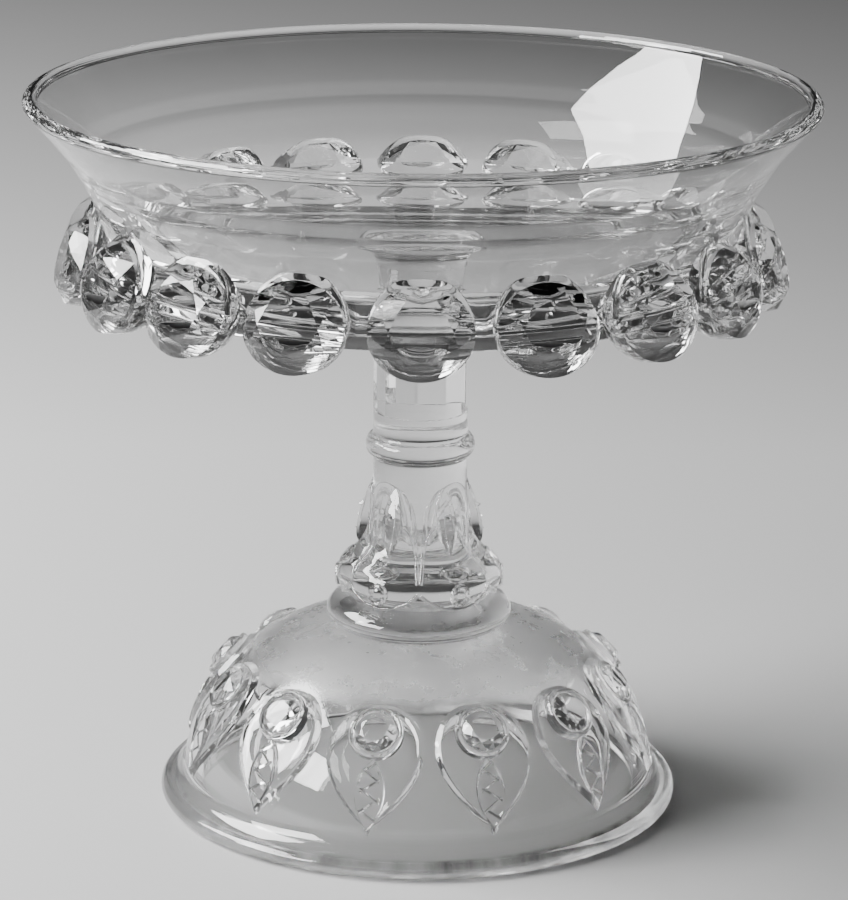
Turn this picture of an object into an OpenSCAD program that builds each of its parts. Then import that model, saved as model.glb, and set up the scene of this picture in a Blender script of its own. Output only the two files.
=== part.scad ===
// Footed compote bowl of clear pressed glass: a flared bowl with a belt of cut-style
// jewels hanging round its heel, a panelled stem with a knop and a six-leaf calyx, and
// a hollow domed foot with twelve pointed petals. It stands on the plane z = 0, its
// axis is Z, and one jewel faces -Y.

/* [Bowl] */
// Outer radius of the bowl over its rim
rim_r = 101.6; // [96:0.2:108]
// Radius of the rounded bead that finishes the rim
rim_bead_r = 1.9; // [1.6:0.1:2.4]
// Height of the bowl from the bottom of its heel to the rim
bowl_h = 47.5; // [44:0.5:56]
// Outer radius of the upright drum that carries the jewels
drum_r = 82.3; // [80:0.1:85]
// Height above the heel at which the drum starts to flare
drum_h = 12.5; // [11:0.5:16]
// Thickness of the bowl's wall in the drum
drum_t = 6; // [5:0.1:7.5]
// Height of the recessed underside above the heel
heel_h = 2.5; // [2:0.1:3.2]
// Width of the flat ring under the heel
heel_w = 4; // [3:0.1:5]
// Thickness of the bowl's floor
floor_t = 6; // [5:0.1:7]
// Radius of the shallow round well in the floor
well_r = 52; // [48:0.5:55]
// Depth of the shallow round well in the floor
well_d = 0.8; // [0.4:0.1:1.2]
// Height above the heel of the ledge that runs round the flare
ledge_z = 28.8; // [26:0.1:31]
// Width of the ledge that runs round the flare
ledge_w = 0.8; // [0.5:0.1:1.1]

/* [Jewels of the bowl] */
// Number of jewels round the bowl
jewel_count = 18; // [16:1:19]
// Radius of one jewel at its girdle
jewel_r = 12.9; // [11.5:0.1:13.2]
// Height of the jewel's centre above the heel
jewel_z = 7.7; // [6:0.1:9.5]
// How far the jewel's girdle stands out from the drum
jewel_out = 5.3; // [4.5:0.1:6.5]
// Upward tilt of the jewel's face, in degrees
jewel_tilt = 17; // [8:1:22]
// Height of the faceted crown above the girdle
crown_h = 4.7; // [3.5:0.1:5.5]
// Height of the plain band at the girdle
girdle_h = 0.8; // [0.4:0.1:1.2]
// Distance from the jewel's axis to each edge of its eight-sided table
table_in = 7.2; // [6:0.1:8]

/* [Stem] */
// Radius of the wafer of glass that joins the stem to the bowl
wafer_r = 17; // [15.5:0.1:19]
// Thickness of the wafer
wafer_t = 3.5; // [2.8:0.1:4.5]
// Radius of the shaft over its edges
shaft_r = 12.3; // [11:0.1:13.5]
// Height of the panelled shaft between the knop and the capital
shaft_h = 31.9; // [26:0.1:40]
// Number of flat panels round the shaft
panel_count = 9; // [6:1:12]
// Depth of each flat panel below the round of the shaft, at its middle
panel_d = 0.62; // [0.4:0.02:0.8]
// Turn of the shaft's panels from the front, in degrees
panel_turn = 8; // [0:1:40]
// Plain length of the shaft below the panels
panel_low = 6.3; // [4:0.1:8]
// Plain length of the shaft above the panels
panel_high = 1; // [0.5:0.1:3]
// Height of the flaring capital under the wafer
capital_h = 9.5; // [7:0.5:12]
// Radius of the knop
knop_r = 14.26; // [13.8:0.02:15.5]
// Height of the knop
knop_h = 5.8; // [5:0.1:7]
// Height of the round lower stem from the collar to the knop
lower_h = 37.3; // [35:0.1:44]

/* [Calyx] */
// Number of leaves round the lower stem
leaf_count = 6; // [5:1:8]
// Greatest radius of the calyx over the leaves' lobes
lobe_r = 21.5; // [20.5:0.1:22.5]
// How far the lobes stand out of the lower stem's foot
lobe_out = 2.9; // [2.3:0.1:3.6]
// How far the lobes' shoulders stand out past the shaft's radius
shoulder_out = 2.845; // [2.4:0.005:3.4]
// Distance of each lobe's own axis from the stem's axis
lobe_axis = 6; // [5:0.1:7]
// Height of the lobes above the collar
lobe_h = 20; // [18:0.2:22]
// Height of the leaves' pointed tips above the collar
tip_z = 31; // [29:0.5:34]
// Greatest radius over the ridge of the pointed spear above each lobe
spear_r = 16.2; // [15.6:0.1:16.8]
// Width of the spear above each lobe
spear_w = 8.6; // [7:0.1:9.5]
// Width of the lens-shaped slot across each lobe
slot_w = 8.4; // [6:0.1:9]
// Height of the lens-shaped slot across each lobe
slot_h = 2.4; // [1.6:0.1:3]
// Depth of the lens-shaped slot
slot_d = 1.2; // [0.6:0.1:1.5]
// Radius of the round button low on each lobe
button_r = 2.5; // [1.8:0.1:3]
// How far the button stands out of its lobe
button_out = 0.7; // [0.4:0.1:1]

/* [Foot] */
// Height of the foot from the table to the underside of the collar
foot_h = 47; // [43:0.5:50]
// Greatest radius of the foot, over its edge bead
foot_r = 68.2; // [65:0.2:72]
// Radius of the bead round the foot's edge
foot_bead_r = 2.2; // [1.8:0.1:2.6]
// Radius of the arc that shapes the foot's dome
dome_arc_r = 45.1; // [43:0.1:48]
// Distance of that arc's centre from the axis
dome_arc_x = 17.3; // [15:0.1:19]
// Height of that arc's centre above the table
dome_arc_z = 2.5; // [1.5:0.1:3.5]
// Thickness of the glass in the dome
dome_t = 5; // [4.5:0.1:6]
// Height at which the dome ends and the spreading edge begins
skirt_z = 9.2; // [8:0.1:11]
// Radius of the collar between the calyx and the foot
collar_r = 24.3; // [23:0.1:26]
// Height of the collar
collar_h = 8; // [7:0.1:9.5]

/* [Petals of the foot] */
// Number of petals round the foot
petal_count = 12; // [10:1:12]
// Turn of the first petal from the front, in degrees
petal_turn = 18.3; // [0:0.1:30]
// Length of a petal from its round top to its tip
petal_l = 34; // [31:0.5:35]
// Greatest width of a petal
petal_w = 25.2; // [21:0.2:26]
// Height of the petal's hollowed field above the dome
field_t = 0.7; // [0.5:0.05:0.9]
// Height of the petal's raised outline above the dome
edge_t = 1.7; // [1.4:0.05:2]
// Width of the petal's raised outline
edge_w = 1.1; // [0.9:0.05:1.6]
// Width of the low border outside that outline
border_w = 1.3; // [0.9:0.05:1.6]
// Outer radius of the ring that holds the petal's jewel
ring_r = 7; // [6.2:0.1:7.2]
// Width of the ring that holds the petal's jewel
ring_w = 1.5; // [1:0.05:1.8]
// Height of that ring above the dome
ring_t = 2.3; // [2:0.05:2.6]
// Height of the petal's jewel above the dome
stone_t = 3.9; // [3.2:0.05:4.4]
// Width of the pointed almond below the jewel
almond_w = 7.4; // [6:0.1:8.5]
// Height of the almond above the dome
almond_t = 1.6; // [1.3:0.05:1.9]
// Number of notches cut zigzag across the almond
notch_count = 5; // [4:1:6]

/* [Hidden] */
$fn = 96;
overrun = 1;
curve_steps = 10;

collar_z = foot_h;
lower_z = collar_z + collar_h;
knop_z = lower_z + lower_h;
shaft_z = knop_z + knop_h;
capital_z = shaft_z + shaft_h;
wafer_z = capital_z + capital_h;
under_z = wafer_z + wafer_t;
heel_z = under_z - heel_h;
rim_z = heel_z + bowl_h;
floor_z = under_z + floor_t;
lower_foot_r = lobe_r - lobe_out;
spear_z = 0.67 * lobe_h;

function numbered(name, count) = [for (i = [1 : count]) str(name, i)];

// Quadratic curve from a to c, drawn towards b
function curve(a, b, c, steps = curve_steps) =
    [for (i = [0 : steps]) let (t = i / steps)
        (1 - t) * (1 - t) * a + 2 * t * (1 - t) * b + t * t * c];
function polar(r, angle, z = 0) = [r * cos(angle), r * sin(angle), z];
function polar_2d(r, angle) = [r * cos(angle), r * sin(angle)];

// Outline of the bowl's outer side, from the heel up to the bead
flare_bend_share = [0.05, 0.4];
drum_top = [drum_r, heel_z + drum_h];
flare_top = [rim_r - 0.1 * rim_bead_r, rim_z - 1.4 * rim_bead_r];
flare_bend = drum_top + [
    flare_bend_share[0] * (rim_r - drum_r), flare_bend_share[1] * (rim_z - drum_top[1])
];
heel_round_r = heel_h;

function outer_side() = concat(
    [[drum_r - heel_round_r, heel_z], [drum_r - 0.29 * heel_round_r, heel_z + 0.29 * heel_round_r],
        [drum_r, heel_z + heel_round_r]],
    curve(drum_top, flare_bend, flare_top)
);

module bowl_body_2d() {
    bead = [rim_r - rim_bead_r, rim_z - rim_bead_r];
    polygon(concat([[0, heel_z]], outer_side(), [bead, [0, bead[1]]]));
    translate(bead) circle(r = rim_bead_r, $fn = 32);
}

// Hollow of the bowl: flared side, rounded corner, flat floor and its shallow well
module bowl_hollow_2d() {
    top = [rim_r - 1.95 * rim_bead_r, rim_z - rim_bead_r];
    side = [drum_r - drum_t, heel_z + drum_h + 0.3 * floor_t];
    bend = side + [0.39 * (top[0] - side[0]), 0.53 * (top[1] - side[1])];
    corner = [side[0] - 0.55 * drum_t, floor_z + 0.08 * floor_t];
    polygon(concat(
        [[0, floor_z - well_d], [well_r - well_d, floor_z - well_d], [well_r, floor_z]],
        curve([well_r + drum_t, floor_z], corner, side),
        curve(side, bend, top),
        [[rim_r - rim_bead_r, rim_z + overrun], [0, rim_z + overrun]]
    ));
}

module under_recess_2d() {
    ring_in = drum_r - heel_round_r - heel_w;
    polygon([[0, heel_z - overrun], [ring_in, heel_z - overrun], [ring_in, heel_z],
        [ring_in - heel_h, under_z], [0, under_z]]);
}

module ledge_2d() {
    r = drum_r + 0.245 * (rim_r - drum_r);
    polygon([[r, heel_z + ledge_z], [r + ledge_w, heel_z + ledge_z],
        [r + 3 * ledge_w, heel_z + ledge_z + 4 * ledge_w], [r, heel_z + ledge_z + 4 * ledge_w]]);
}

module bowl() {
    color("gainsboro")
        rotate_extrude($fn = 180)
            difference() {
                union() {
                    bowl_body_2d();
                    ledge_2d();
                }
                bowl_hollow_2d();
                under_recess_2d();
            }
}

module bowl_solid() {
    rotate_extrude($fn = 180) bowl_body_2d();
}

// A cut-style crown: a table of eight sides, eight star facets, eight kites and
// sixteen girdle facets over a block that runs down by depth below the plane z = 0.
// The block stands out past the girdle's radius, so it trims a round body of that radius.
module crown_block(girdle_r, table_edge, height, band, depth) {
    half = 180 / 8;
    outer_r = girdle_r / cos(half / 2);
    table_r = table_edge / cos(half);
    mid_r = table_edge + 0.42 * (girdle_r - table_edge);
    slope_share = (mid_r * cos(half) - table_r) / (outer_r - table_r);
    mid_z = height + slope_share * (band - height);
    table = [for (k = [0 : 7]) polar(table_r, 2 * half * k + half, height)];
    mid = [for (k = [0 : 7]) polar(mid_r, 2 * half * k, mid_z)];
    rim = [for (k = [0 : 15]) polar(outer_r, half * k, band)];
    base = [for (k = [0 : 15]) polar(outer_r, half * k, -depth)];
    faces = concat(
        [[for (k = [7 : -1 : 0]) k]],
        [for (k = [0 : 7]) [(k + 7) % 8, k, 8 + k]],
        [for (k = [0 : 7]) [k, 8 + (k + 1) % 8, 16 + 2 * k + 1, 8 + k]],
        [for (k = [0 : 7]) [8 + k, 16 + 2 * k + 1, 16 + 2 * k]],
        [for (k = [0 : 7]) [8 + k, 16 + 2 * k, 16 + (2 * k + 15) % 16]],
        [for (k = [0 : 15]) [16 + k, 16 + (k + 1) % 16, 32 + (k + 1) % 16, 32 + k]],
        [[for (k = [0 : 15]) 32 + k]]
    );
    rotate(half) polyhedron(points = concat(table, mid, rim, base), faces = faces);
}

// Stone with a plain girdle that stands up from the plane z = 0
module set_stone(girdle_r, height, band) {
    intersection() {
        crown_block(girdle_r, 0.56 * girdle_r, height, band, overrun);
        cylinder(r = girdle_r, h = height);
    }
}

// Whole jewel: faceted crown over a smooth half ball
module whole_jewel() {
    intersection() {
        crown_block(jewel_r, table_in, crown_h, girdle_h, jewel_r + overrun);
        union() {
            cylinder(r = jewel_r, h = crown_h);
            sphere(r = jewel_r);
        }
    }
}

module jewel(i) {
    color("whitesmoke")
        difference() {
            rotate([0, 0, 360 * (i - 1) / jewel_count - 90])
                translate([drum_r + jewel_out, 0, heel_z + jewel_z])
                    rotate([0, 90 - jewel_tilt, 0]) whole_jewel();
            bowl_solid();
        }
}

module wafer() {
    color("gainsboro") translate([0, 0, wafer_z])
        rotate_extrude() {
            square([wafer_r - wafer_t / 2, wafer_t]);
            translate([wafer_r - wafer_t / 2, wafer_t / 2]) circle(r = wafer_t / 2, $fn = 32);
        }
}

module capital() {
    top_r = wafer_r - wafer_t / 2;
    color("gainsboro") translate([0, 0, capital_z])
        rotate_extrude()
            polygon(concat([[0, capital_h], [0, 0]],
                curve([shaft_r, 0], [shaft_r, 0.7 * capital_h], [top_r, capital_h])));
}

// Shaft with flat panels that stop short of the knop in a square step
module shaft() {
    flat_w = 2 * shaft_r * sin(180 / panel_count);
    flat_r = shaft_r - panel_d - shaft_r * (1 - cos(180 / panel_count)) / 8;
    color("gainsboro") translate([0, 0, shaft_z])
        difference() {
            cylinder(r = shaft_r, h = shaft_h);
            for (k = [0 : panel_count - 1])
                rotate([0, 0, (k + 0.5) * 360 / panel_count - panel_turn - 90])
                    translate([flat_r, -flat_w / 2, panel_low])
                        cube([shaft_r, flat_w, shaft_h - panel_low - panel_high]);
        }
}

module knop() {
    color("gainsboro") translate([0, 0, knop_z])
        rotate_extrude()
            polygon(concat([[0, knop_h], [0, 0]],
                [for (i = [-curve_steps / 2 : curve_steps / 2]) let (a = 90 * i / (curve_steps / 2))
                    [shaft_r + (knop_r - shaft_r) * cos(a), knop_h / 2 * (1 + sin(a))]]));
}

function lower_side() = concat(
    curve([lower_foot_r, 0], [1.13 * shaft_r, 0.45 * lobe_h], [shaft_r, tip_z]),
    [[shaft_r, lower_h]]
);

module lower_stem() {
    color("gainsboro") translate([0, 0, lower_z])
        rotate_extrude() polygon(concat([[0, lower_h], [0, 0]], lower_side()));
}

// Each lobe is turned about its own axis, like a bud, and meets its neighbours in valleys
lobe_shares = [[0.89, 0], [0.96, 0.07], [1, 0.17], [1, 0.31], [0.93, 0.4], [0.83, 0.46], [0.7, 0.55]];
shoulder_shares = [[1, 0.65], [0.67311, 0.8], [0.29174, 1]];

module lobe() {
    bud_r = lobe_r - lobe_axis;
    translate([lobe_axis, 0, 0])
        rotate_extrude($fn = 64)
            polygon(concat([[0, lobe_h], [0, 0]],
                [for (s = lobe_shares) [bud_r * s[0], lobe_h * s[1]]],
                [for (s = shoulder_shares) [shaft_r - lobe_axis + shoulder_out * s[0], lobe_h * s[1]]]));
}

// Common part of two discs whose outline has its points at z = low and z = high
module lens(low, high, width) {
    half_h = (high - low) / 2;
    lens_r = (half_h * half_h + width * width / 4) / width;
    translate([0, 0, low + half_h]) rotate([0, 90, 0])
        intersection() {
            translate([0, width / 2 - lens_r, 0]) cylinder(r = lens_r, h = lobe_r);
            translate([0, lens_r - width / 2, 0]) cylinder(r = lens_r, h = lobe_r);
        }
}

// Body of revolution that swells from the shaft's radius at the tips to bulge_r
module swelling(bulge_r) {
    bulge_z = 0.83 * lobe_h;
    rotate_extrude()
        polygon(concat([[0, tip_z], [0, spear_z], [shaft_r, spear_z]],
            curve([0.96 * bulge_r, spear_z], [1.03 * bulge_r, bulge_z], [shaft_r, tip_z])));
}

// Pointed spear of two layers, the inner one narrower and higher
module spear() {
    intersection() {
        lens(spear_z, tip_z, spear_w);
        swelling(spear_r);
    }
    intersection() {
        lens(spear_z, tip_z - 0.1 * tip_z, 0.46 * spear_w);
        swelling(spear_r + 0.1 * spear_w);
    }
}

// Rounds the bottom of each lobe like a shield, so that the lobes' feet are scalloped
module shield_round() {
    side_y = lobe_r * sin(180 / leaf_count);
    scallop_h = 0.28 * lobe_h;
    scallop_r = (side_y * side_y + scallop_h * scallop_h) / (2 * scallop_h);
    translate([0, 0, scallop_r]) {
        rotate([0, 90, 0]) cylinder(r = scallop_r, h = 2 * lobe_r);
        translate([0, -scallop_r, 0]) cube([2 * lobe_r, 2 * scallop_r, lobe_h]);
    }
}

// Lens-shaped slot: the common part of two flat cylinders
module slot() {
    lens_r = (slot_w * slot_w + slot_h * slot_h) / (4 * slot_h);
    slot_r = lobe_axis + 0.78 * (lobe_r - lobe_axis);
    translate([slot_r - slot_d, 0, 0.49 * lobe_h]) rotate([0, 90, 0])
        intersection() {
            translate([-lens_r + slot_h / 2, 0, 0]) cylinder(r = lens_r, h = slot_w);
            translate([lens_r - slot_h / 2, 0, 0]) cylinder(r = lens_r, h = slot_w);
        }
}

module calyx_leaf(i) {
    half = 180 / leaf_count;
    color("whitesmoke") translate([0, 0, lower_z])
        rotate([0, 0, (i - 0.5) * 2 * half - 90])
            difference() {
                union() {
                    intersection() {
                        union() {
                            difference() {
                                lobe();
                                slot();
                            }
                            translate([lobe_r - button_out, 0, 0.24 * lobe_h]) rotate([0, 90, 0])
                                cylinder(r1 = button_r, r2 = 0.7 * button_r, h = 2 * button_out);
                        }
                        linear_extrude(height = lobe_h)
                            polygon([[0, 0], polar_2d(2 * lobe_r, -half), polar_2d(2 * lobe_r, half)]);
                        shield_round();
                    }
                    spear();
                }
                rotate_extrude() polygon(concat([[0, lower_h], [0, 0]], lower_side()));
            }
}

module collar() {
    color("gainsboro") translate([0, 0, collar_z])
        rotate_extrude() {
            bead_r = 0.42 * collar_h;
            polygon(concat([[0, collar_h], [0, 0], [collar_r - bead_r, 0]],
                curve([collar_r - bead_r, 2 * bead_r], [collar_r - 1.6 * bead_r, collar_h],
                    [lower_foot_r + 0.3 * bead_r, collar_h])));
            translate([collar_r - bead_r, bead_r]) circle(r = bead_r, $fn = 48);
        }
}

// Cross-section of the dome, with its arc moved out by grow
module dome_2d(grow) {
    intersection() {
        union() {
            translate([dome_arc_x, dome_arc_z]) circle(r = dome_arc_r + grow, $fn = 180);
            square([dome_arc_x, dome_arc_z + dome_arc_r + grow]);
        }
        square([2 * foot_r, 2 * foot_h]);
    }
}

skirt_rise = skirt_z - dome_arc_z;
skirt_r = dome_arc_x + sqrt(dome_arc_r * dome_arc_r - skirt_rise * skirt_rise);

// Spreading edge below the dome: a hollowed cove that runs out to a bead
module edge_2d() {
    bead = [foot_r - foot_bead_r, foot_bead_r];
    polygon(concat([[0, 0], [bead[0], 0], bead, [bead[0], 2 * foot_bead_r]],
        curve([bead[0], 2 * foot_bead_r], [1.013 * skirt_r, 0.62 * skirt_z], [skirt_r, skirt_z]),
        [[0, skirt_z]]));
    translate(bead) circle(r = foot_bead_r, $fn = 48);
}

module foot_outer_2d() {
    intersection() {
        dome_2d(0);
        translate([0, skirt_z]) square([2 * foot_r, foot_h - skirt_z]);
    }
    edge_2d();
}

module foot_hollow_2d() {
    mouth_r = foot_r - 2.6 * foot_bead_r;
    intersection() {
        dome_2d(-dome_t);
        square([2 * foot_r, foot_h - dome_t]);
    }
    inner_r = dome_arc_x + dome_arc_r - dome_t;
    polygon([[0, -overrun], [mouth_r, -overrun], [mouth_r, 0], [inner_r - 0.4 * dome_t, 1.5 * foot_bead_r],
        [0, 1.5 * foot_bead_r]]);
}

module foot() {
    color("gainsboro")
        rotate_extrude($fn = 180)
            difference() {
                foot_outer_2d();
                foot_hollow_2d();
            }
}

// Half width of a petal, as a share, at share u of the way from its round top to its tip
function petal_half(u) = pow(sin(180 * pow(u, 0.72)), 0.58 + 0.42 * u);
module petal_2d(shrink, steps = 9) {
    l = petal_l - 2.6 * shrink;
    w = petal_w / 2 - shrink;
    right = [for (i = [0 : steps]) let (u = pow(i / steps, 1.4))
        [w * petal_half(u), petal_l / 2 - shrink - l * u]];
    left = [for (i = [steps - 1 : -1 : 1]) [-right[i][0], right[i][1]]];
    polygon(concat(right, left));
}

// Pointed almond between the jewel's ring and the petal's tip
almond_l = petal_l - 2 * ring_r - 2.4 * edge_w;
module almond_2d(steps = 6) {
    tip_y = -petal_l / 2 + 0.7 * edge_w;
    right = [for (i = [0 : steps]) let (u = i / steps)
        [almond_w / 2 * pow(sin(180 * u), 0.9), tip_y + almond_l * u]];
    left = [for (i = [steps - 1 : -1 : 1]) [-right[i][0], right[i][1]]];
    polygon(concat(right, left));
}

// The dome's outer solid grown by a height, which caps a petal's layer at that height
module dome_cap(height) {
    rotate_extrude($fn = 180) dome_2d(height);
}

petal_lift = 30.6;
stone_y = petal_l / 2 - border_w - ring_r;

// Puts a flat outline square to the dome's slope in the middle of the petal
module on_slope() {
    translate([dome_arc_x, 0, dome_arc_z]) rotate([0, 90 - petal_lift, 0]) rotate([0, 0, 90]) children();
}

module layer(height) {
    intersection() {
        on_slope() linear_extrude(height = dome_arc_r + stone_t) children();
        dome_cap(height);
    }
}

module petal(i) {
    stone_edge = ring_r - ring_w;
    stone_angle = asin(stone_y / dome_arc_r);
    color("whitesmoke")
        rotate([0, 0, petal_turn + 360 * (i - 1) / petal_count - 90])
            difference() {
                union() {
                    layer(field_t) petal_2d(0);
                    layer(edge_t) difference() {
                        petal_2d(border_w);
                        petal_2d(border_w + edge_w);
                    }
                    layer(almond_t) difference() {
                        almond_2d();
                        for (k = [1 : notch_count])
                            translate([0, -petal_l / 2 + (k + 1) * almond_l / (notch_count + 2)])
                                rotate(k % 2 == 0 ? 35 : -35)
                                    square([almond_w, 0.3 * edge_w], center = true);
                    }
                    layer(ring_t) translate([0, stone_y]) difference() {
                        circle(r = ring_r, $fn = 48);
                        circle(r = stone_edge, $fn = 48);
                    }
                    translate([dome_arc_x, 0, dome_arc_z]) rotate([0, 90 - petal_lift - stone_angle, 0])
                        translate([0, 0, dome_arc_r - field_t])
                            set_stone(stone_edge, stone_t + field_t, ring_t);
                }
                rotate_extrude($fn = 180) foot_outer_2d();
            }
}

bowl();
wafer();
capital();
shaft();
knop();
lower_stem();
collar();
foot();
for (i = [1 : jewel_count]) jewel(i);
for (i = [1 : leaf_count]) calyx_leaf(i);
for (i = [1 : petal_count]) petal(i);
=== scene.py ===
import math

import bmesh
import bpy
from mathutils import Matrix, Vector


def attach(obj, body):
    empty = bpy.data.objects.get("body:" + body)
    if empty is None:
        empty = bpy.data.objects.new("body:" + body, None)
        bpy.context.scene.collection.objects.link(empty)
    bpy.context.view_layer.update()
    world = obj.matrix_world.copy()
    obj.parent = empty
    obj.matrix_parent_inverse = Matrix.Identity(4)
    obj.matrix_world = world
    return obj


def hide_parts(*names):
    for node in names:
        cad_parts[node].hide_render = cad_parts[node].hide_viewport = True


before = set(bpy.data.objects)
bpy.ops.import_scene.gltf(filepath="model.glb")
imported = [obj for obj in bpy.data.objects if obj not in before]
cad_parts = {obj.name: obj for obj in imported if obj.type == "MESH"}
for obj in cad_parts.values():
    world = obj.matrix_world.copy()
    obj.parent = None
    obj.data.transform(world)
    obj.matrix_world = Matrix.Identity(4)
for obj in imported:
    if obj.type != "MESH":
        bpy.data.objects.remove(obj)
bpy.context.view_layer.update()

# The table: a wide sheet of pale matt paper. It carries the piece's shadow, and the glass
# shows it, bent, through every wall. Its colour is painted darker to the back and to the right,
# a painted shade for the light of the window on the left as it falls off.


class Socket:
    """A shader socket that takes part in sums, so a mask is written as a plain expression."""

    def __init__(self, tree, link):
        self.tree = tree
        self.link = link

    def node(self, kind, settings, **inputs):
        made = self.tree.nodes.new(kind)
        for key, value in settings.items():
            setattr(made, key, value)
        for key, value in inputs.items():
            name = int(key[1:]) if key[0] == "_" else key
            self.feed(made.inputs[name], value)
        return Socket(self.tree, made.outputs[0])

    def output(self, name):
        return Socket(self.tree, self.link.node.outputs[name])

    def feed(self, socket, value):
        if isinstance(value, Socket):
            self.tree.links.new(value.link, socket)
        else:
            socket.default_value = value

    def maths(self, operation, first, second):
        return self.node("ShaderNodeMath", {"operation": operation}, _0=first, _1=second)

    def __add__(self, other):
        return self.maths("ADD", self, other)

    def __radd__(self, other):
        return self.maths("ADD", other, self)

    def __sub__(self, other):
        return self.maths("SUBTRACT", self, other)

    def __rsub__(self, other):
        return self.maths("SUBTRACT", other, self)

    def __mul__(self, other):
        return self.maths("MULTIPLY", self, other)

    def __rmul__(self, other):
        return self.maths("MULTIPLY", other, self)

    def __truediv__(self, other):
        return self.maths("DIVIDE", self, other)

    def __rtruediv__(self, other):
        return self.maths("DIVIDE", other, self)

    def ramp(self, *stops):
        made = self.node("ShaderNodeValToRGB", {}, Fac=self)
        band = made.link.node.color_ramp.elements
        while len(band) < len(stops):
            band.new(0.5)
        for stop, (place, grey) in zip(band, stops):
            stop.position = place
            stop.color = (grey, grey, grey, 1)
        return made

    def clamped(self):
        """The value kept between 0 and 1."""
        return self.ramp((0.0, 0.0), (1.0, 1.0))


def surface(name):
    """A new material with its Principled shader and the object's own coordinates."""
    material = bpy.data.materials.new(name)
    material.use_nodes = True
    tree = material.node_tree
    shader = tree.nodes["Principled BSDF"]
    place = tree.nodes.new("ShaderNodeTexCoord")
    pen = Socket(tree, shader.outputs[0])
    return material, pen, shader, Socket(tree, place.outputs["Object"])


table_paper, pen, paper, place = surface("table_paper")
grain = pen.node("ShaderNodeTexNoise", {}, Vector=place, Scale=900.0, Detail=3.0)
axes = pen.node("ShaderNodeSeparateXYZ", {}, Vector=place)
ramp_front, ramp_deep = 0.35, 2.6
ramp_left, ramp_wide = 0.6, 1.2
away = (axes.output("Y") + ramp_front) / ramp_deep
aside = (axes.output("X") + ramp_left) / ramp_wide
# Painted shade: the paper's colour darkens to the back and to the right, where less of the
# window's light falls.
painted_falloff = away.ramp((0.0, 0.3), (0.26, 0.31), (0.31, 0.268), (0.376, 0.223), (0.454, 0.189),
                     (0.54, 0.164), (0.62, 0.152), (1.0, 0.1))
painted_paper_tone = painted_falloff * aside.ramp((0.3, 1.0), (0.7, 0.76))
paper.inputs["Roughness"].default_value = 0.7
paper.inputs["Specular IOR Level"].default_value = 0.2
pen.feed(paper.inputs["Base Color"], painted_paper_tone)

# Behind the lamps no light falls on the sheet. There it is given a painted glow of plain grey,
# which only the camera sees.
lamps_x, lamps_blend = -1.25, 0.6
paper_seen = pen.node("ShaderNodeLightPath", {}).output("Is Camera Ray")
painted_glow_behind_lamps = ((lamps_x - axes.output("X")) / lamps_blend).ramp((0.0, 0.0), (1.0, 0.4))
pen.feed(paper.inputs["Emission Color"], paper_seen * painted_glow_behind_lamps)
paper.inputs["Emission Strength"].default_value = 1.0
bump = pen.node("ShaderNodeBump", {}, Strength=0.05, Distance=0.0002, Height=grain)
pen.feed(paper.inputs["Normal"], bump)

# The sheet lies a hair below the tread: where faces coincide, the glass shows a black band.
sheet_size, sheet_below = 6.0, 0.0003
sheet = bmesh.new()
bmesh.ops.create_grid(sheet, x_segments=2, y_segments=2, size=sheet_size)
bmesh.ops.translate(sheet, verts=sheet.verts, vec=(0, 0, -sheet_below))
table_mesh = bpy.data.meshes.new("table")
sheet.to_mesh(table_mesh)
sheet.free()
table = bpy.data.objects.new("table", table_mesh)
table_mesh.materials.append(table_paper)
bpy.context.scene.collection.objects.link(table)

# The studio: a dark room, so that the glass draws itself in dark lines, with one large soft
# window high on the left and a lower, smaller one before it. The camera stands a metre in
# front and looks down on the piece by sixteen degrees. It alone sees the room in pale grey.

pale_wall = 0.45
room = bpy.data.worlds.new("studio")
bpy.context.scene.world = room
room.use_nodes = True
backdrop = room.node_tree.nodes["Background"]
walls = Socket(room.node_tree, backdrop.outputs[0])
wall_seen = walls.node("ShaderNodeLightPath", {}).output("Is Camera Ray")
where = walls.node("ShaderNodeTexCoord", {}).output("Generated")
rise = walls.node("ShaderNodeSeparateXYZ", {}, Vector=where).output("Z")
dark = rise.ramp((0.0, 0.08), (0.2, 0.05), (0.5, 0.04), (0.85, 0.04), (1.0, 0.08))
walls.feed(backdrop.inputs["Color"], wall_seen * pale_wall + (1 - wall_seen) * dark)


def softbox(name, at, towards, wide, high, power):
    """A rectangular lamp at a place, turned towards a point. Sizes in metres, power in watts."""
    lamp = bpy.data.lights.new(name, "AREA")
    lamp.shape = "RECTANGLE"
    lamp.size = wide
    lamp.size_y = high
    lamp.energy = power
    holder = bpy.data.objects.new(name, lamp)
    holder.location = at
    holder.rotation_euler = (Vector(towards) - Vector(at)).to_track_quat("-Z", "Y").to_euler()
    bpy.context.scene.collection.objects.link(holder)


softbox("window", (-1.13, 0.2, 1.05), (0, 0, 0.1), 0.95, 0.8, 100)
softbox("low_window", (-1.2, -0.5, 0.68), (0, 0, 0.05), 0.9, 0.5, 62)

photo_px, focal_px = 900, 3992.8
stand, heading, pitch, roll = (0, -1.0, 0.3809), -0.057, 16.049, 0.5
eye = bpy.data.cameras.new("eye")
eye.sensor_width = 36
eye.lens = focal_px / photo_px * eye.sensor_width
eye.clip_end = 20
camera = bpy.data.objects.new("eye", eye)
camera.matrix_world = (Matrix.Translation(stand)
                       @ Matrix.Rotation(math.radians(heading), 4, "Z")
                       @ Matrix.Rotation(math.radians(90 - pitch), 4, "X")
                       @ Matrix.Rotation(math.radians(roll), 4, "Z"))
bpy.context.scene.collection.objects.link(camera)
bpy.context.scene.camera = camera

# Light crosses the walls of cut glass many times before it leaves.
bpy.context.scene.cycles.max_bounces = 24
bpy.context.scene.cycles.transmission_bounces = 24
bpy.context.scene.cycles.glossy_bounces = 16

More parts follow.
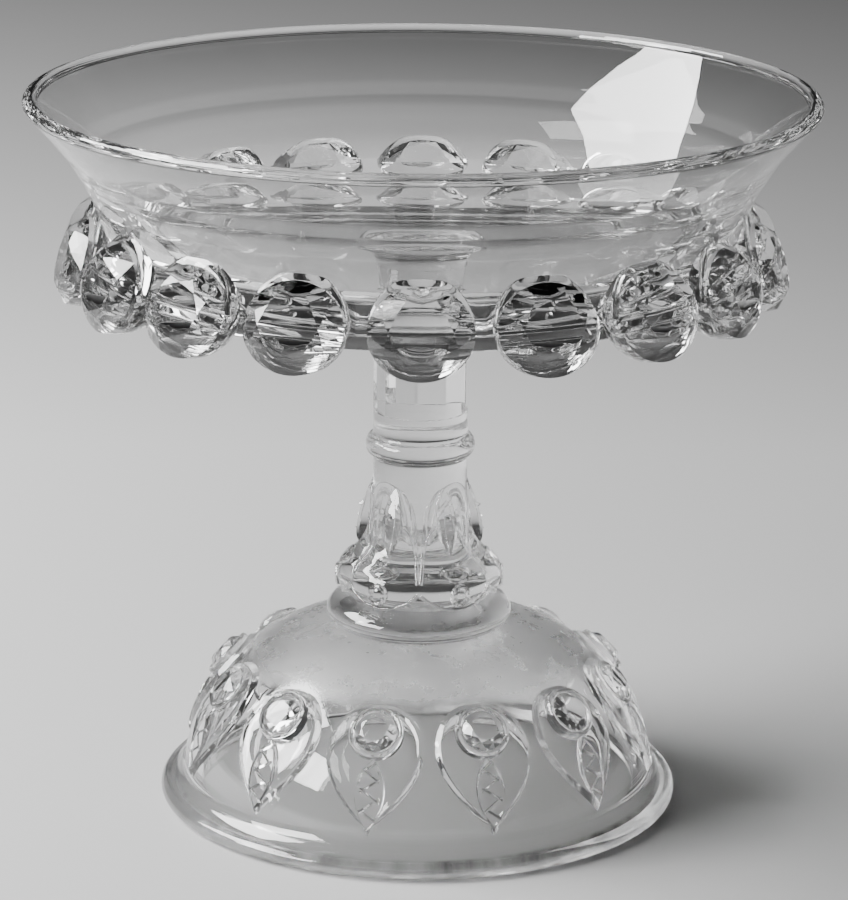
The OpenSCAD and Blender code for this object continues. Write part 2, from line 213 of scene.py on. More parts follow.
# The bowl: one pressing of clear glass, turned about the stem's axis. A rounded bead
# finishes the flared rim, a ledge runs round the flare, and the underside is recessed.


def pressed_glass(name):
    """Clear glass whose surface keeps the faint waves of the iron mould."""
    material, pen, glass, place = surface(name)
    glass.inputs["Roughness"].default_value = 0.0
    glass.inputs["IOR"].default_value = 1.5
    glass.inputs["Transmission Weight"].default_value = 1.0
    mould = pen.node("ShaderNodeTexNoise", {}, Vector=place, Scale=38.0, Detail=1.5, Roughness=0.4)
    ripple = pen.node("ShaderNodeBump", {}, Strength=0.12, Distance=0.0012, Height=mould)
    pen.feed(glass.inputs["Normal"], ripple)
    return material, pen, glass, place


# The jewels are painted darker than the walls, a painted shade on the glass's colour. They lie
# past the drum, in metres here.
drum_edge, belt_top = 0.0824, 0.164
clear_tone, jewel_painted_shade = 0.8, 0.2
clear_glass, pen, glass, place = pressed_glass("clear_pressed_glass")
axes = pen.node("ShaderNodeSeparateXYZ", {}, Vector=place)
x, y, z = (axes.output(name) for name in "XYZ")
past_drum = ((x * x + y * y - drum_edge ** 2) / 0.0004).clamped()
in_belt = ((belt_top - z) / 0.004).clamped()
# Painted shade: the glass's colour is darker on the jewels.
pen.feed(glass.inputs["Base Color"], clear_tone - past_drum * in_belt * jewel_painted_shade)

mm = 1000
rim_r, rim_bead, rim_z = 101.6, 1.9, 188.0
heel_z, under_z, floor_z = 140.5, 143.0, 149.0
drum_r, drum_h, pad_r = 82.3, 12.5, 15.25
flare_out, flare_rise, ledge_up = 19.3, 35, 28.4
floor_r, well_r, well_d = 58, 52, 0.8


def curve(a, b, c, steps):
    """Points of the quadratic curve from a to c, drawn towards b."""
    a, b, c = Vector(a), Vector(b), Vector(c)
    shares = (i / steps for i in range(steps + 1))
    return [((1 - t) ** 2 * a + 2 * t * (1 - t) * b + t * t * c)[:] for t in shares]


def arc(centre, radius, start, end, steps):
    """Points round a centre, from start to end in degrees."""
    turns = (math.radians(start + (end - start) * i / steps) for i in range(steps + 1))
    return [(centre[0] + radius * math.cos(t), centre[1] + radius * math.sin(t)) for t in turns]


def softened(points, rounds):
    """The same outline with the numbered corners rounded by that many millimetres."""
    out = []
    for i, point in enumerate(points):
        if i not in rounds:
            out.append(point)
            continue
        here, before, after = Vector(point), Vector(points[i - 1]), Vector(points[i + 1])
        back_off = here + (before - here).normalized() * rounds[i]
        go_on = here + (after - here).normalized() * rounds[i]
        out += curve(back_off, here, go_on, 6)
    return out


def turned(outline, steps):
    """A closed solid of revolution about Z from an outline that starts and ends on the axis."""
    bm = bmesh.new()
    verts = [bm.verts.new((r, 0, z)) for r, z in outline]
    edges = [bm.edges.new(pair) for pair in zip(verts, verts[1:])]
    bmesh.ops.spin(bm, geom=verts + edges, cent=(0, 0, 0), axis=(0, 0, 1), angle=math.tau,
                   steps=steps, use_merge=True, use_duplicate=False)
    bmesh.ops.remove_doubles(bm, verts=bm.verts, dist=1e-4)
    bmesh.ops.recalc_face_normals(bm, faces=bm.faces)
    return bm


def solid(name, bm):
    """A shown object from a mesh in millimetres."""
    bmesh.ops.scale(bm, verts=bm.verts, vec=(1 / mm, 1 / mm, 1 / mm))
    mesh = bpy.data.meshes.new(name)
    bm.to_mesh(mesh)
    bm.free()
    thing = bpy.data.objects.new(name, mesh)
    bpy.context.scene.collection.objects.link(thing)
    return thing


drum_top = (drum_r, heel_z + drum_h)
flare_top = (rim_r - 0.19, rim_z - 2.66)
flare_bend = (drum_r + 0.05 * flare_out, drum_top[1] + 0.4 * flare_rise)
flare = curve(drum_top, flare_bend, flare_top, 24)
bead = arc((rim_r - rim_bead, rim_z - rim_bead), rim_bead, -22, 192, 16)
inner_top = (rim_r - 1.95 * rim_bead, rim_z - rim_bead)
inner_low = (drum_r - 6, heel_z + 14.3)
inner_bend = (inner_low[0] + 0.39 * (inner_top[0] - inner_low[0]),
              inner_low[1] + 0.53 * (inner_top[1] - inner_low[1]))
below_ledge = [p for p in flare if p[1] < heel_z + ledge_up]
above_ledge = [p for p in flare if p[1] > heel_z + ledge_up + 2.1]
ledge_r = below_ledge[-1][0] + 0.3
heel = [(40, under_z), (73.2, under_z), (75.8, heel_z), (drum_r - 1.5, heel_z),
        (drum_r, heel_z + 2.5), drum_top]
well = [(floor_r, floor_z), (well_r, floor_z), (well_r - well_d, floor_z - well_d),
        (0, floor_z - well_d)]
outline = (
    [(0, under_z), (pad_r, under_z)]
    + softened(heel, {1: 1.2, 2: 0.8, 3: 1.0, 4: 1.2})[:-1]
    + below_ledge
    + [(ledge_r + 0.7, heel_z + ledge_up + 0.5), (ledge_r + 1.1, heel_z + ledge_up + 1.1)]
    + above_ledge[:-1]
    + bead
    + curve(inner_top, inner_bend, inner_low, 24)
    + curve(inner_low, (inner_low[0] - 3.3, floor_z + 0.5), (floor_r, floor_z), 10)[1:]
    + softened(well, {1: 0.5, 2: 0.5})[1:]
)
bowl = solid("bowl", turned(outline, 200))

# The belt of eighteen jewels: each is a round of glass with a faceted crown, as on a cut
# stone, over a smooth rounded back, and is pressed in one with the drum it hangs from.

jewel_count, first_jewel = 18, -90
jewel_r, crown_h, table_in, girdle_h, back_h = 12.9, 4.7, 7.2, 0.8, 13
jewel_out, jewel_up, jewel_tilt = 5.3, 7.7, 17
crown_oval, crown_down = 0.88, 1.5
boss_r, boss_in, boss_front, boss_back = 12.7, -1.5, 1.9, 12
facet_turn = 9


def cut(bm, *points):
    """Takes off what lies outside the plane through three points, seen from the middle."""
    a, b, c = (Vector(p) for p in points)
    normal = (b - a).cross(c - a).normalized()
    if normal.dot(a) < 0:
        normal = -normal
    bmesh.ops.bisect_plane(bm, geom=bm.verts[:] + bm.edges[:] + bm.faces[:], dist=1e-5,
                           plane_co=a, plane_no=normal, clear_outer=True)
    bmesh.ops.holes_fill(bm, edges=[e for e in bm.edges if e.is_boundary])


def stone(girdle_r, edge, height, band, back_depth):
    """A round stone, girdle at z = 0: table, eight stars, eight kites, sixteen girdle facets."""
    half = math.radians(22.5)
    outer_r = girdle_r / math.cos(half / 2)
    table_r = edge / math.cos(half)
    mid_r = edge + 0.42 * (girdle_r - edge)
    share = (mid_r * math.cos(half) - table_r) / (outer_r - table_r)
    mid_z = height + share * (band - height)

    def at(r, steps, z):
        return (r * math.cos(half * steps), r * math.sin(half * steps), z)

    turns = (math.radians(6 * i) for i in range(16))
    rounded = [(girdle_r * math.cos(a), -back_depth * math.sin(a)) for a in turns]
    bm = turned([(0, height), (girdle_r, height)] + rounded[:-1] + [(0, -back_depth)], 64)
    for k in range(8):
        table_a, table_b = at(table_r, 2 * k - 1, height), at(table_r, 2 * k + 1, height)
        mid_a, mid_b = at(mid_r, 2 * k, mid_z), at(mid_r, 2 * k + 2, mid_z)
        cut(bm, table_a, table_b, mid_a)
        cut(bm, table_b, mid_a, mid_b)
        cut(bm, mid_a, at(outer_r, 2 * k, band), at(outer_r, 2 * k + 1, band))
        cut(bm, mid_a, at(outer_r, 2 * k, band), at(outer_r, 2 * k - 1, band))
    bmesh.ops.rotate(bm, verts=bm.verts, cent=(0, 0, 0), matrix=Matrix.Rotation(half, 3, "Z"))
    bmesh.ops.recalc_face_normals(bm, faces=bm.faces)
    return bm


def repeated(bm, count, first):
    """The same shape count times round Z, the first one turned by first degrees."""
    one = bpy.data.meshes.new("one")
    bm.to_mesh(one)
    bm.free()
    every = bmesh.new()
    for k in range(count):
        before = len(every.verts)
        every.from_mesh(one)
        every.verts.ensure_lookup_table()
        turn = Matrix.Rotation(math.radians(first + 360 * k / count), 3, "Z")
        bmesh.ops.rotate(every, verts=every.verts[before:], cent=(0, 0, 0), matrix=turn)
    bpy.data.meshes.remove(one)
    return every


def combine(thing, other, operation="UNION"):
    """Joins or cuts a solid with another, which is used up."""
    step = thing.modifiers.new("combine", "BOOLEAN")
    step.operation = operation
    step.solver = "MANIFOLD"
    step.object = other
    bpy.context.view_layer.update()
    shown = thing.evaluated_get(bpy.context.evaluated_depsgraph_get())
    made = bpy.data.meshes.new_from_object(shown)
    thing.modifiers.clear()
    made.name = thing.name
    thing.data = made
    bpy.data.objects.remove(other)


def swept(bm):
    """Merges points closer than a few microns and takes out crumbs that hang on to nothing."""
    near, fewest_faces = 4e-6, 100
    bmesh.ops.remove_doubles(bm, verts=bm.verts, dist=near)
    bmesh.ops.dissolve_degenerate(bm, dist=near, edges=bm.edges)
    bmesh.ops.triangulate(bm, faces=bm.faces)
    left, crumbs = set(bm.faces), []
    while left:
        front = [left.pop()]
        for face in front:
            touching = {other for edge in face.edges for other in edge.link_faces} & left
            left -= touching
            front.extend(touching)
        if len(front) < fewest_faces:
            crumbs.extend(front)
    bmesh.ops.delete(bm, geom=crumbs, context="FACES")


# Two pieces that were joined hot show no wall between them, so the contact disc is clear.
fused = bpy.data.materials.new("fused_seam")
fused.use_nodes = True
seam_nodes = fused.node_tree.nodes
seam_nodes.remove(seam_nodes["Principled BSDF"])
through = seam_nodes.new("ShaderNodeBsdfTransparent")
fused.node_tree.links.new(through.outputs[0], seam_nodes["Material Output"].inputs["Surface"])


def contact(height, radius):
    """A test for points, in millimetres, on the disc where two pieces are fused."""
    return lambda c: abs(c.z - height) < 0.01 and math.hypot(c.x, c.y) < radius


def finished(thing, glass, slot, seam, sharp, *nodes):
    """Glass on all faces but those of a fused seam, smooth up to an angle, riding on the body."""
    thing.data.materials.clear()
    thing.data.materials.append(glass)
    thing.data.materials.append(fused)
    bm = bmesh.new()
    bm.from_mesh(thing.data)
    swept(bm)
    for face in bm.faces:
        face.material_index = 1 if seam(face.calc_center_median() * mm) else 0
        face.smooth = True
    for edge in bm.edges:
        middle = (edge.verts[0].co + edge.verts[1].co) * (mm / 2)
        edge.smooth = edge.calc_face_angle(0) < math.radians(sharp(middle))
    bm.to_mesh(thing.data)
    bm.free()
    thing.name = slot
    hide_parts(*nodes)
    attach(thing, "root")


hang = (Matrix.Translation((drum_r + jewel_out, 0, heel_z + jewel_up))
        @ Matrix.Rotation(math.radians(90 - jewel_tilt), 4, "Y"))
crown = Matrix.Translation((crown_down, 0, 0)) @ Matrix.Diagonal((crown_oval, 1, 1, 1))
jewel = stone(jewel_r, table_in, crown_h, girdle_h, back_h)
bmesh.ops.transform(jewel, verts=jewel.verts, matrix=hang @ crown)
boss_side = [(boss_r * math.cos(a), boss_in + (boss_front if a > 0 else boss_back) * math.sin(a))
             for a in (math.radians(80 - 5 * i) for i in range(33))]
boss = turned([(0, boss_in + boss_front)] + boss_side + [(0, boss_in - boss_back)], 64)
bmesh.ops.transform(boss, verts=boss.verts, matrix=hang)
hollow_r, hollow_low, hollow_top = drum_r - 3.2, floor_z - 2, heel_z + 16
hollow = turned([(0, hollow_low), (hollow_r, hollow_low), (hollow_r, hollow_top),
                 (0, hollow_top)], 96)
jewels = solid("jewels", repeated(jewel, jewel_count, first_jewel))
combine(jewels, solid("bosses", repeated(boss, jewel_count, first_jewel)))
combine(jewels, solid("hollow", hollow), "DIFFERENCE")
combine(bowl, jewels)
wafer_seam = contact(under_z, pad_r)
finished(bowl, clear_glass, "bowl_glass", wafer_seam, lambda c: facet_turn,
         "bowl", *["jewel_%d" % i for i in range(1, jewel_count + 1)])

# The stem: wafer, flaring capital, shaft, knop, the round core of the calyx and the collar,
# turned about one axis and pressed in one. The wafer is fused to the underside of the bowl.

wafer_bead = 1.75
wafer_z = under_z - 2 * wafer_bead
shaft_r, shaft_z = 12.3, 99.4
knop_in, knop_bead_r, knop_bead_z, knop_z = 12.4, 1.9, 2.7, 95.2
core = ((shaft_r, 86), (13.9, 64), (18.6, 55))
collar_r, collar_z, collar_bead = 20.94, 47, 3.36
knop = [(knop_in + knop_bead_r * math.cos(a), knop_z + knop_bead_z * math.sin(a))
        for a in (math.radians(turn) for turn in range(70, -71, -10))]
stem_outline = (
    [(0, under_z), (pad_r, under_z)]
    + arc((pad_r, under_z - wafer_bead), wafer_bead, 90, -90, 10)[1:]
    + curve((pad_r, wafer_z), (shaft_r, 136.65), (shaft_r, 130), 14)[1:]
    + [(shaft_r, z) for z in (122, 114, 106, shaft_z)]
    + curve((shaft_r, shaft_z), (shaft_r, 98.1), (shaft_r + 0.5, 97.8), 5)[1:]
    + knop
    + curve((shaft_r + 0.5, 92.6), (shaft_r, 92.3), (shaft_r, 91.3), 5)
    + curve(*core, 20)
    + curve(core[-1], (22.4, 54.4), (23.8, 52.0), 8)[1:]
    + arc((collar_r, collar_z + collar_bead), collar_bead, 28, -90, 14)[1:]
    + [(0, collar_z)]
)
stem = solid("stem", turned(stem_outline, 160))

# The nine flats of the shaft: shallow panels pressed into its round side. They run out
# under the capital and stop in a square step above the knop.

flat_count, first_flat = 9, -78
flat_in, flat_low, flat_top, cut_depth = 11.59, 104.4, 129, 4
flat_w = 2 * shaft_r * math.sin(math.pi / flat_count)
flat = bmesh.new()
bmesh.ops.create_cube(flat, size=1)
flat_place = (Matrix.Translation((flat_in + cut_depth / 2, 0, (flat_low + flat_top) / 2))
              @ Matrix.Diagonal((cut_depth, flat_w - 0.04, flat_top - flat_low, 1)))
bmesh.ops.transform(flat, verts=flat.verts, matrix=flat_place)
combine(stem, solid("flats", repeated(flat, flat_count, first_flat)), "DIFFERENCE")

# The calyx: six leaves hug the foot of the stem. Each is a shield-shaped lobe with a lens
# slot and a round button, and a ribbed pointed spear stands over it.

leaf_count, first_leaf, leaf_side = 6, -60, 30.2
calyx_z = 55.0
lobe_axis, lobe_r, lobe_h, tip_z, spear_z = 6.0, 21.5, 20.0, 31.0, 13.4
slot_z, slot_half, slot_w, slot_deep = 9.9, 4.0, 2.9, 1.3
lip_half, lip_w, lip_out = 4.9, 4.3, 0.5
scallop_y, scallop_h = lobe_r * 0.5, 5.6
hem_r, hem_up = 20.6, 0.45
leaf_turn = 16
swelling = [(0.88, 0), (0.95, 0.07), (0.99, 0.15), (1, 0.22), (0.985, 0.31), (0.93, 0.42),
            (0.84, 0.51), (0.73, 0.59), (0.63, 0.68), (0.55, 0.8), (0.47, 1)]


def outlined(points, depth):
    """A flat outline in the YZ plane drawn out along X by depth."""
    bm = bmesh.new()
    face = bm.faces.new([bm.verts.new((0, y, z)) for y, z in points])
    drawn = bmesh.ops.extrude_face_region(bm, geom=[face])
    moved = [v for v in drawn["geom"] if isinstance(v, bmesh.types.BMVert)]
    bmesh.ops.translate(bm, verts=moved, vec=(depth, 0, 0))
    bmesh.ops.recalc_face_normals(bm, faces=bm.faces)
    return bm


def lens(low, high, width, start, depth):
    """A pointed lens outline, width across, drawn out along X from start."""
    half_h = (high - low) / 2
    r = (half_h ** 2 + width ** 2 / 4) / width
    spread = math.degrees(math.asin(half_h / r))
    right = arc((width / 2 - r, low + half_h), r, -spread, spread, 14)
    left = arc((r - width / 2, low + half_h), r, 180 - spread, 180 + spread, 14)
    bm = outlined(right[:-1] + left[:-1], depth)
    bmesh.ops.translate(bm, verts=bm.verts, vec=(start, 0, 0))
    return bm


def lying(half, width):
    """The slot's lens outline laid on its side, at the slot's height."""
    bm = lens(-half, half, width, 12, 12)
    laid = Matrix.Translation((0, 0, slot_z)) @ Matrix.Rotation(math.radians(90), 4, "X")
    bmesh.ops.transform(bm, verts=bm.verts, matrix=laid)
    return bm


def through_points(points, steps):
    """A smooth curve through all the points."""
    ends = [points[0]] + list(points) + [points[-1]]
    out = []
    for a, b, c, d in zip(ends, ends[1:], ends[2:], ends[3:]):
        a, b, c, d = Vector(a), Vector(b), Vector(c), Vector(d)
        for i in range(steps):
            t = i / steps
            out.append((b + (c - a) * t / 2 + (2 * a - 5 * b + 4 * c - d) * t * t / 2
                        + (3 * b - a - 3 * c + d) * t ** 3 / 2)[:])
    return out + [tuple(points[-1])]


def core_r(z):
    """Radius of the stem's round core at a height above the calyx's foot."""
    (top_r, top_z), (mid_r, mid_z), (low_r, low_z) = core
    fall, bow = top_z - mid_z, top_z - 2 * mid_z + low_z
    t = (fall - math.sqrt(fall ** 2 - bow * (top_z - calyx_z - z))) / bow
    return (1 - t) ** 2 * top_r + 2 * t * (1 - t) * mid_r + t * t * low_r


def leaf_r(turn, z):
    """Radius of the leaf's surface at degrees from its middle and a height: lobe or core."""
    if z >= lobe_h:
        return core_r(z)
    share = z / lobe_h
    pairs = [(a, b) for a, b in zip(swelling, swelling[1:]) if a[1] <= share <= b[1]]
    (r0, z0), (r1, z1) = pairs[0] if pairs else (swelling[0], swelling[1])
    bud = (lobe_r - lobe_axis) * (r0 + (r1 - r0) * (share - z0) / (z1 - z0))
    a = math.radians(turn)
    swollen = lobe_axis * math.cos(a) + math.sqrt(bud ** 2 - (lobe_axis * math.sin(a)) ** 2)
    return max(core_r(z), swollen)


def rib(path, thick):
    """A fine round rib along (degrees from the leaf's middle, height), thin at its first end."""
    sides = 24
    bm = bmesh.new()
    spine = []
    for turn, z in through_points(path, 5):
        r, a = leaf_r(turn, z), math.radians(turn)
        spine.append(Vector((r * math.cos(a), r * math.sin(a), z)))
    rings = []
    for i, point in enumerate(spine):
        along = (spine[min(i + 1, len(spine) - 1)] - spine[max(i - 1, 0)]).normalized()
        across = along.cross(Vector((point.x, point.y, 0))).normalized()
        out = across.cross(along)
        r = thick * min(1, 0.3 + 0.14 * i)
        rings.append([bm.verts.new(point + (across * math.cos(t) + out * math.sin(t)) * r)
                      for t in (math.tau * k / sides for k in range(sides))])
    for one, two in zip(rings, rings[1:]):
        for k in range(sides):
            bm.faces.new((one[k], one[k - 1], two[k - 1], two[k]))
    bm.faces.new(rings[0])
    bm.faces.new(rings[-1][::-1])
    bmesh.ops.recalc_face_normals(bm, faces=bm.faces)
    return bm


def lobe(grow):
    """The leaf's swelling foot, grown by that much, cut to its sixth of the round."""
    bud = lobe_r - lobe_axis
    profile = [(bud * r + grow, lobe_h * z) for r, z in through_points(swelling, 5)]
    bm = turned([(0, 0)] + profile + [(0, lobe_h)], 120)
    bmesh.ops.translate(bm, verts=bm.verts, vec=(lobe_axis, 0, 0))
    for side in (1, -1):
        edge = math.radians(leaf_side * side)
        outwards = (-math.sin(edge) * side, math.cos(edge) * side, 0)
        bmesh.ops.bisect_plane(bm, geom=bm.verts[:] + bm.edges[:] + bm.faces[:], dist=1e-5,
                               plane_co=(0, 0, 0), plane_no=outwards, clear_outer=True)
        bmesh.ops.holes_fill(bm, edges=[e for e in bm.edges if e.is_boundary])
    return bm


leaf = solid("leaf", lobe(0))
shield_r = (scallop_y ** 2 + scallop_h ** 2) / (2 * scallop_h)
shield = arc((0, shield_r), shield_r, 180, 360, 48) + [(shield_r, 30), (-shield_r, 30)]
combine(leaf, solid("shield", outlined(shield, 30)), "INTERSECT")
lip = solid("lip", lobe(lip_out))
combine(lip, solid("lip_outline", lying(lip_half, lip_w)), "INTERSECT")
combine(leaf, lip)
bed = solid("bed", lobe(-slot_deep))
slot = solid("slot", lying(slot_half, slot_w))
combine(slot, bed, "DIFFERENCE")
combine(leaf, slot, "DIFFERENCE")
facing_out = Matrix.Rotation(math.radians(90), 4, "Y")
button = turned([(0, 0), (3.0, 0), (3.0, 1.2), (2.8, 1.6), (2.4, 1.75), (2.0, 1.6), (1.7, 1.3),
                 (1.2, 1.6), (0, 1.9)], 48)
bmesh.ops.transform(button, verts=button.verts,
                    matrix=Matrix.Translation((lobe_r - 1.2, 0, 4.4)) @ facing_out)
combine(leaf, solid("button", button))
for reach, width, top in ((16.4, 5.2, tip_z), (17.1, 2.6, tip_z - 2)):
    blade = curve((0.93 * reach, spear_z), (1.07 * reach, 17), (shaft_r, tip_z), 20)
    swell = turned([(0, spear_z)] + blade + [(0, tip_z)], 160)
    spear = solid("spear", lens(spear_z, top, width, 3, 20))
    combine(spear, solid("swell", swell), "INTERSECT")
    combine(leaf, spear)
for up, tall in ((17.2, 3.4), (20.6, 3.0), (23.6, 2.6)):
    point = bmesh.new()
    bmesh.ops.create_cone(point, segments=4, radius1=1, radius2=0.02, depth=1, cap_ends=True)
    bmesh.ops.transform(point, verts=point.verts,
                        matrix=Matrix.Translation((core_r(up) + 2.2, 0, up)) @ facing_out
                        @ Matrix.Diagonal((tall / 2, 1.3, 1.6, 1)))
    combine(leaf, solid("point", point))
ribs = (((19.5, 27.5), (22.5, 24.5), (24.3, 21.5), (25.8, 18), (26.8, 14), (28, 10), (28.8, 7.5)),
        ((4.7, 30), (9.2, 27), (13.2, 24), (15, 21.5)),
        ((5.5, 21), (12, 20.6), (17.5, 19.5), (22, 17.5), (26, 14.5)))
for path, thick in zip(ribs, (0.5, 0.4, 0.45)):
    for side in (1, -1):
        combine(leaf, solid("rib", rib([(side * a, z) for a, z in path], thick)))
hem = []
for turn in range(-29, 30, 2):
    aside_mm = hem_r * math.sin(math.radians(turn))
    hem.append((turn, shield_r - math.sqrt(shield_r ** 2 - aside_mm ** 2) + hem_up))
combine(leaf, solid("hem", rib(hem, 0.5)))
for k in range(leaf_count):
    copy = bpy.data.objects.new("leaf_%d" % k, leaf.data.copy())
    bpy.context.scene.collection.objects.link(copy)
    turn = math.radians(360 / leaf_count * k + first_leaf)
    copy.data.transform(Matrix.Translation((0, 0, calyx_z / mm)) @ Matrix.Rotation(turn, 4, "Z"))
    combine(stem, copy)
bpy.data.objects.remove(leaf)
finished(stem, clear_glass, "stem_glass", lambda c: wafer_seam(c) or c.z < collar_z + 0.01,
         lambda c: leaf_turn, "wafer", "capital", "shaft", "knop", "lower_stem", "collar",
         *["calyx_leaf_%d" % i for i in range(1, leaf_count + 1)])

# The foot: a hollow dome that carries the collar on its flat top. Its coved edge runs out
# to a bead that stands on the table, and it is open underneath.

arc_x, arc_z, arc_r, wall = 17.3, 2.5, 45.1, 5.0
skirt_z, edge_bead = 9.2, 2.2


def dome_turn(height, radius):
    """Degrees round the dome's arc at a height."""
    return math.degrees(math.asin((height - arc_z) / radius))


skirt_r = arc_x + arc_r * math.cos(math.radians(dome_turn(skirt_z, arc_r)))
foot_outline = (
    [(0, collar_z), (collar_r, collar_z)]
    + arc((arc_x, arc_z), arc_r, dome_turn(collar_z, arc_r), dome_turn(skirt_z, arc_r), 44)
    + curve((skirt_r, skirt_z), (1.013 * skirt_r, 0.62 * skirt_z), (66.0, 2 * edge_bead), 10)[1:]
    + arc((66, edge_bead), edge_bead, 80, -90, 12)
    + [(62.5, 0)]
    + curve((62.2, 0.2), (57.6, 3), (arc_x + 40.0, 5.2), 6)
    + arc((arc_x, arc_z), arc_r - wall, 5, dome_turn(collar_z - wall, arc_r - wall), 36)
    + [(0, collar_z - wall)]
)
foot = solid("foot", turned(foot_outline, 240))

# The petals: twelve pointed drops lie on the dome. Each is scooped inside a sharp raised
# outline and holds a ringed stone and, below it, a notched almond.

petal_count, first_petal = 12, 18.3 - 90
petal_l, petal_w, ring_r, petal_lift = 34.0, 25.2, 7.0, 30.6
almond_w, groove_count = 7.6, 6
form_turn = 30
border = [(0, 0.05), (0.35, 0.35), (0.4, 0.75), (0.25, 1.0), (0.15, 1.08), (0.15, 1.02),
          (0.3, 0.85), (0.6, 0.65), (0.8, 0.45), (0.9, 0.3), (0.9, 0.22)]


def drop(count):
    """Outline of a petal, its round top at +Y and its point at -Y."""
    right = []
    for i in range(count + 1):
        u = (i / count) ** 1.5
        inside = 0 < u < 1
        bulge = math.sin(math.pi * u ** 0.72) ** (0.58 + 0.42 * u) if inside else 0
        right.append((petal_w / 2 * bulge, petal_l / 2 - petal_l * u))
    return right + [(-x, y) for x, y in right[-2:0:-1]]


def draped(bm):
    """Lays a flat form on the dome: X across, Y up the slope and Z off the surface."""
    lift = math.radians(petal_lift)
    out = Vector((math.cos(lift), 0, math.sin(lift)))
    up = Vector((-math.sin(lift), 0, math.cos(lift)))
    for v in bm.verts:
        start = Vector((arc_x, 0, arc_z)) + Vector((0, v.co.x, 0)) + up * v.co.y
        want, far = arc_r + v.co.z, arc_r
        for _ in range(12):
            p = start + out * far
            far += want - math.hypot(math.hypot(p.x, p.y) - arc_x, p.z - arc_z)
        v.co = start + out * far
    return bm


def gridded(bm, spacing):
    """Splits the faces on a square grid, so that the form can follow a curve."""
    for axis in (0, 1):
        low_side = min(v.co[axis] for v in bm.verts)
        high_side = max(v.co[axis] for v in bm.verts)
        at = low_side + spacing
        while at < high_side:
            co, no = Vector(), Vector()
            co[axis], no[axis] = at, 1
            bmesh.ops.bisect_plane(bm, geom=bm.verts[:] + bm.edges[:] + bm.faces[:], dist=1e-4,
                                   plane_co=co, plane_no=no)
            at += spacing
    return bm


def moved_in(points, far, step):
    """An outline, clockwise from its top, moved in by far. Its halves are kept from crossing."""
    count = len(points)
    tip = min(range(count), key=lambda k: points[k][1])
    slim = 0.15 - 0.01 * step
    ring = []
    for k, (x, y) in enumerate(points):
        (x0, y0), (x1, y1) = points[k - 1], points[(k + 1) % count]
        size = math.hypot(x1 - x0, y1 - y0)
        side = (k < tip) - (k > tip) if k else 0
        x, y = x + far * (y1 - y0) / size, y - far * (x1 - x0) / size
        top = points[0][1] - far - 0.02 * min(k, count - k)
        low = points[tip][1] + far + 0.02 * abs(k - tip)
        ring.append((side * max(side * x, slim), min(max(y, low), top)))
    return ring


def plateau(points, steps):
    """A flat form on an outline, its top inset step by step: (inset, height) from the edge in."""
    bm = bmesh.new()
    far, rings = 0, [[bm.verts.new((x, y, -1.5)) for x, y in moved_in(points, 0, 0)]]
    for step, (inset, level) in enumerate(steps):
        far += inset
        rings.append([bm.verts.new((x, y, level)) for x, y in moved_in(points, far, step)])
    for low, high in zip(rings, rings[1:]):
        for k in range(len(points)):
            bm.faces.new((low[k - 1], low[k], high[k], high[k - 1]))
    bm.faces.new(rings[0])
    bm.faces.new(rings[-1][::-1])
    bmesh.ops.recalc_face_normals(bm, faces=bm.faces)
    return bm


def all_round(name, bm):
    """A solid of one such form in every petal."""
    return solid(name, repeated(bm, petal_count, first_petal))


combine(foot, all_round("petals", draped(gridded(plateau(drop(26), border), 2.0))))

stone_y = petal_l / 2 - 1.3 - ring_r
ring_edge = ring_r - 1.5
setting = turned([(0, -2.5), (ring_r, -2.5), (ring_r, 1.5), (ring_r - 0.25, 2.05),
                  (ring_r - 0.65, 2.3), (ring_r - 1.1, 2.1), (ring_edge, 1.5), (ring_edge, 1.2),
                  (0, 1.2)], 64)
gem = stone(ring_edge - 0.15, 0.56 * ring_edge, 3.9, 2.0, 2.0)
slant = math.degrees(math.asin(stone_y / arc_r)) + petal_lift
place_stone = (Matrix.Translation((arc_x, 0, arc_z))
               @ Matrix.Rotation(math.radians(90 - slant), 4, "Y")
               @ Matrix.Translation((0, 0, arc_r)))
for name, bm in (("setting", setting), ("gem", gem)):
    bmesh.ops.transform(bm, verts=bm.verts, matrix=place_stone)
    combine(foot, all_round(name, bm))

almond_top, almond_tip = stone_y - ring_r + 0.9, -petal_l / 2 + 1.2
half_l, middle = (almond_top - almond_tip) / 2, (almond_top + almond_tip) / 2
almond_r = (half_l ** 2 + almond_w ** 2 / 4) / almond_w
spread = math.degrees(math.asin(half_l / almond_r))
almond = arc((almond_w / 2 - almond_r, middle), almond_r, spread, -spread, 16)[:-1]
almond += arc((almond_r - almond_w / 2, middle), almond_r, 180 + spread, 180 - spread, 16)[:-1]
nut = plateau(almond, [(0, 1.0), (0.25, 1.5), (0.25, 1.5), (0.3, 1.25)])
combine(foot, all_round("almonds", draped(gridded(nut, 2.0))))

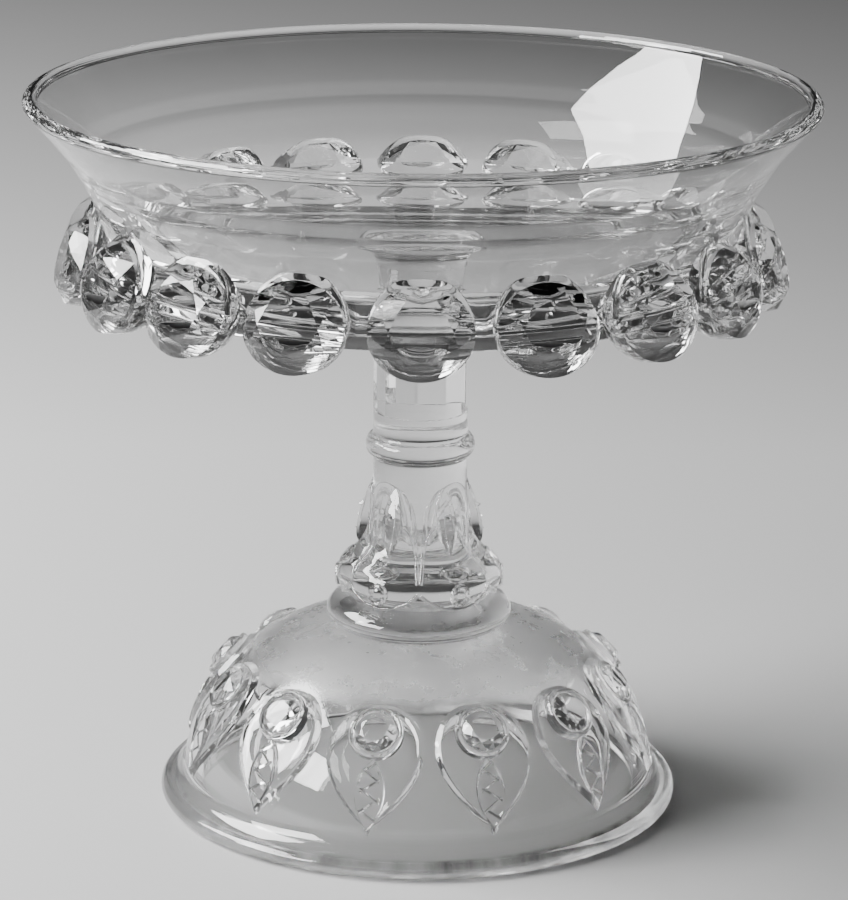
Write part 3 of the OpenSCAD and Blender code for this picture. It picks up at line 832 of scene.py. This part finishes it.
# The notches slant to and fro by 35 degrees, so those of one slant are cut at a time.
pitch = (almond_top - almond_tip - 3.4) / groove_count
for start in (0, 1):
    cuts = bmesh.new()
    for k in range(start, groove_count, 2):
        at = almond_tip + 2.2 + pitch * (k + 0.5)
        wide = almond_w * math.sqrt(max(0.1, 1 - ((at - middle) / half_l) ** 2)) - 1.4
        made = bmesh.ops.create_cube(cuts, size=1)["verts"]
        bmesh.ops.transform(cuts, verts=made,
                            matrix=Matrix.Translation((0, at, 1.71 + 0.06 * start))
                            @ Matrix.Rotation(math.radians(70 * start - 35), 4, "Z")
                            @ Matrix.Diagonal((1, 0.72, 1, 1))
                            @ Matrix.Rotation(math.radians(45), 4, "X")
                            @ Matrix.Diagonal((wide, math.sqrt(2), math.sqrt(2), 1)))
    combine(foot, all_round("grooves", draped(cuts)), "DIFFERENCE")


def near_stone(p):
    """The angle up to which an edge is smooth: small on the petals' stones, or facets blur."""
    step = 360 / petal_count
    turn = (math.degrees(math.atan2(p.y, p.x)) - first_petal + step / 2) % step - step / 2
    r = math.hypot(p.x, p.y)
    flat = Vector((r * math.cos(math.radians(turn)), r * math.sin(math.radians(turn)), p.z))
    off = (flat - place_stone @ Vector((0, 0, 2.5))).length
    return facet_turn if off < ring_edge + 0.2 else form_turn


# The foot's wear: the crown of its dome is rubbed dull. Near the table the tread is a little
# rough, and its colour is darker in spots. Heights are in metres here.

crown_from, crown_blend, tread_h = 0.036, 0.004, 0.0015
worn_glass, pen, glass, place = pressed_glass("worn_pressed_glass")
rub = pen.node("ShaderNodeTexNoise", {}, Vector=place, Scale=120.0, Detail=4.0, Roughness=0.6)
axes = pen.node("ShaderNodeSeparateXYZ", {}, Vector=place)
rubbed = ((axes.output("Z") - crown_from) / crown_blend).clamped()
tread = (axes.output("Z") / tread_h).ramp((0.4, 1.0), (1.0, 0.0))
pen.feed(glass.inputs["Roughness"], rubbed * (rub * 0.5 + 0.05) + tread * 0.2)
# The tread's colour is made darker in noisy spots.
tread_dark_spots = ((rub - 0.35) / 0.3).ramp((0.0, 0.1), (1.0, 0.85)) * tread
pen.feed(glass.inputs["Base Color"], 0.99 - tread_dark_spots)
finished(foot, worn_glass, "foot_glass", contact(collar_z, collar_r), near_stone,
         "foot", *["petal_%d" % i for i in range(1, petal_count + 1)])
